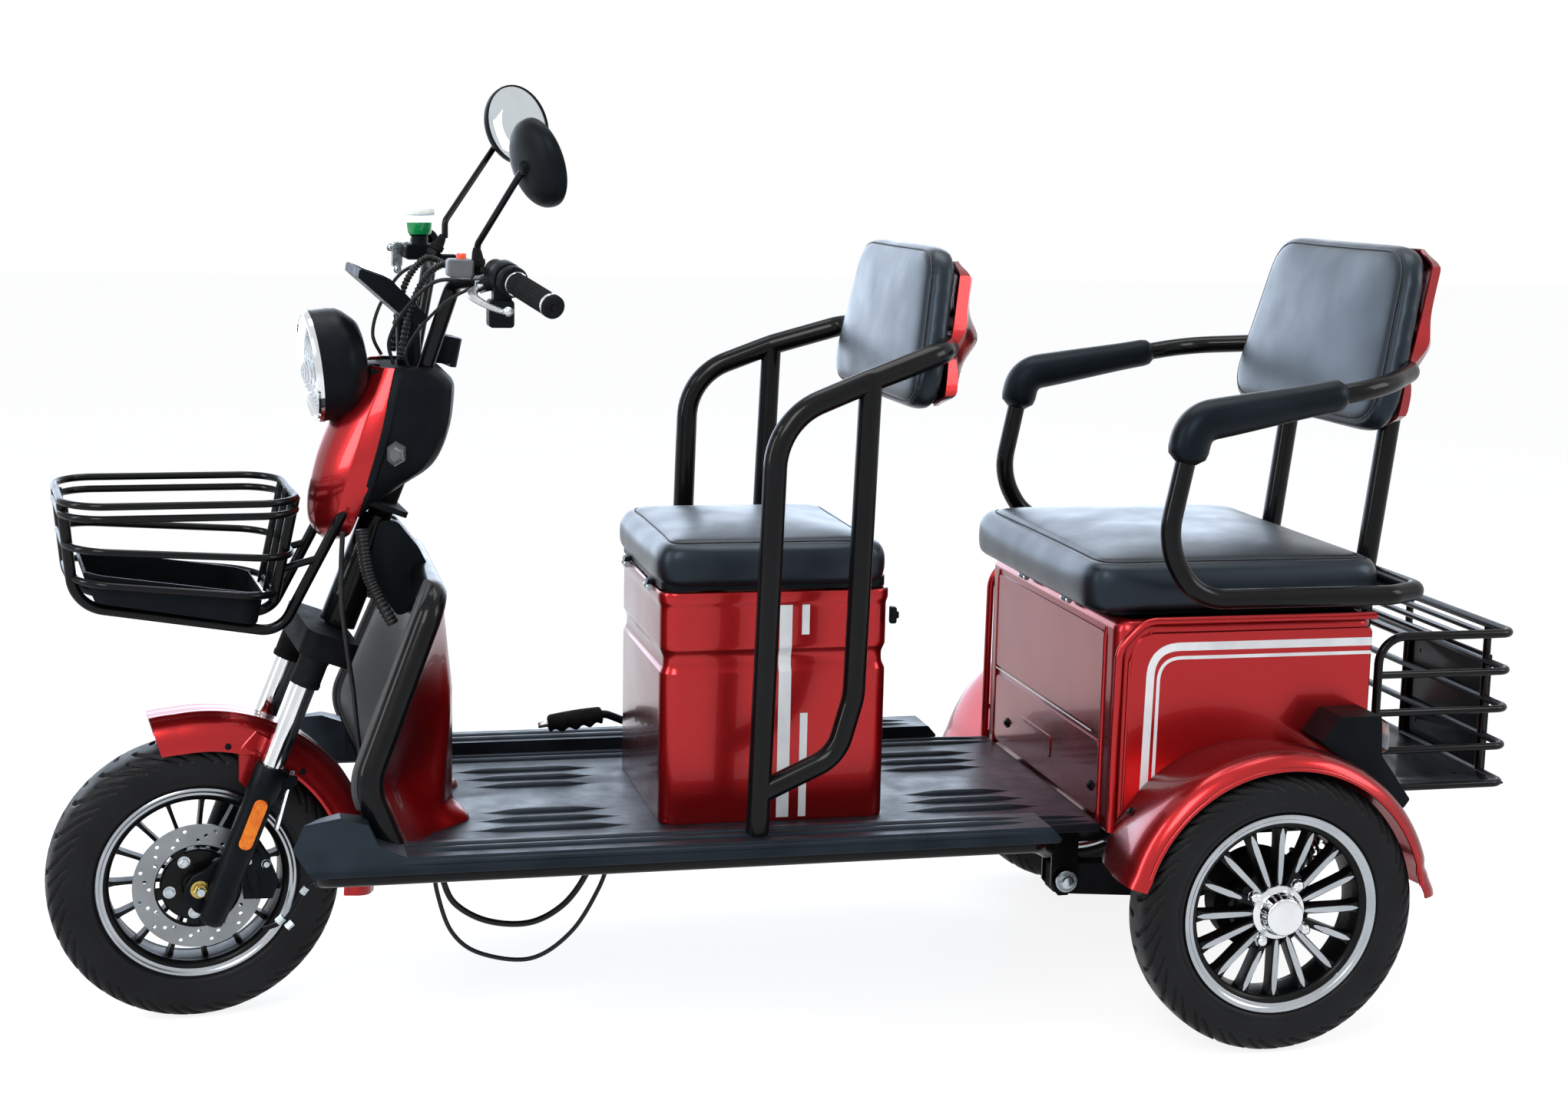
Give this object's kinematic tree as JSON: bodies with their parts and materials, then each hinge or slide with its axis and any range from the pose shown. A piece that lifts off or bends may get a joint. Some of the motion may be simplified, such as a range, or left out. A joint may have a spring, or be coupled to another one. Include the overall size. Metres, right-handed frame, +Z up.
{
  "type": "electric tricycle",
  "caption": "Open electric tricycle with a front basket, a steered front wheel, a driver's seat and a rear bench that tip forward over storage boxes, and a rear rack",
  "frame": {"origin": "on the ground under the middle of the whole vehicle", "axes": "+X forward along the vehicle, +Y to the vehicle's left, +Z up"},
  "size_m": [2.1144, 0.902, 1.3187],
  "materials": {
    "black_paint": "gloss",
    "red_paint": "gloss",
    "black_plastic": "fine grain",
    "floor_plastic": "ribbed",
    "seat_vinyl": "satin vinyl",
    "soft_rubber": "matte",
    "battery_case": "matte",
    "clear_lens": "clear",
    "amber_lens": "gloss",
    "zinc_steel": "zinc plated",
    "chrome": "mirror",
    "cast_alloy": "satin",
    "green_plastic": "gloss",
    "disc_steel": "brushed",
    "tyre": "matte"
  },
  "bodies": {
    "frame": {"chassis_frame": "black_paint", "head_cables": "soft_rubber", "floor_board": "floor_plastic", "running_boards": "floor_plastic", "shield_hoop": "black_paint", "leg_shield_rear": "red_paint", "leg_shield_front": "black_plastic", "neck_cover": "black_plastic", "middle_box": "red_paint", "middle_seat_frame": "black_paint", "middle_backrest_pad": "seat_vinyl", "middle_backrest_shell": "red_paint", "rear_box": "red_paint", "battery_block": "battery_case", "seat_rail": "black_paint", "arm_pads": "soft_rubber", "rear_backrest_pad": "seat_vinyl", "rear_backrest_shell": "red_paint", "rear_mudguards": "red_paint", "tail_lamps": "black_plastic", "tail_lenses": "clear_lens", "rear_rack": "black_paint", "swing_arm": "black_paint", "rear_axle": "black_paint", "shock_absorbers": "zinc_steel", "hand_brake": "zinc_steel", "cables": "soft_rubber"},
    "steering": {"steering_stem": "black_paint", "fork_stanchions": "chrome", "fork_sliders": "black_paint", "front_axle": "zinc_steel", "fork_reflectors": "amber_lens", "front_mudguard": "red_paint", "brake_caliper": "cast_alloy", "handlebar": "black_paint", "grips": "soft_rubber", "bar_switches": "black_plastic", "brake_levers": "cast_alloy", "brake_reservoir": "green_plastic", "mirrors": "black_plastic", "cowl": "red_paint", "housing": "black_plastic", "headlamp": "black_plastic", "headlamp_lens": "clear_lens", "indicators": "clear_lens", "instrument_pod": "black_plastic", "basket_frame": "black_paint", "basket_tray": "black_plastic"},
    "front_wheel": {"front_tyre": "tyre", "front_rim": "cast_alloy", "front_brake_disc": "disc_steel"},
    "rear_wheel_left": {"rear_tyre_left": "tyre", "rear_rim_left": "cast_alloy"},
    "rear_wheel_right": {"rear_tyre_right": "tyre", "rear_rim_right": "cast_alloy"},
    "middle_seat": {"middle_seat_pan": "black_plastic", "middle_cushion": "seat_vinyl"},
    "rear_seat": {"rear_seat_pan": "black_plastic", "rear_cushion": "seat_vinyl"}
  },
  "joints": [
    {"name": "steering_turn", "type": "hinge", "parent": "frame", "child": "steering", "pos_m": [0.65222, 0, 0.56], "axis": [-0.3665, 0, 0.9304], "range_deg": [-47.8, 32.2], "deforming": ["head_cables"]},
    {"name": "front_wheel_spin", "type": "hinge", "parent": "steering", "child": "front_wheel", "pos_m": [0.85471, 0.00787, 0.20274], "axis": [-0.1263, 0.9907, -0.0497], "continuous": true},
    {"name": "rear_wheel_left_spin", "type": "hinge", "parent": "frame", "child": "rear_wheel_left", "pos_m": [-0.60978, 0.399, 0.202], "axis": [0, 1, 0], "continuous": true},
    {"name": "rear_wheel_right_spin", "type": "hinge", "parent": "frame", "child": "rear_wheel_right", "pos_m": [-0.60978, -0.399, 0.202], "axis": [0, 1, 0], "continuous": true},
    {"name": "middle_seat_tip", "type": "hinge", "parent": "frame", "child": "middle_seat", "pos_m": [0.22422, 0, 0.621], "axis": [0, 1, 0], "range_deg": [0, 85]},
    {"name": "rear_seat_tip", "type": "hinge", "parent": "frame", "child": "rear_seat", "pos_m": [-0.40178, 0, 0.588], "axis": [0, 1, 0], "range_deg": [0, 85]}
  ]
}
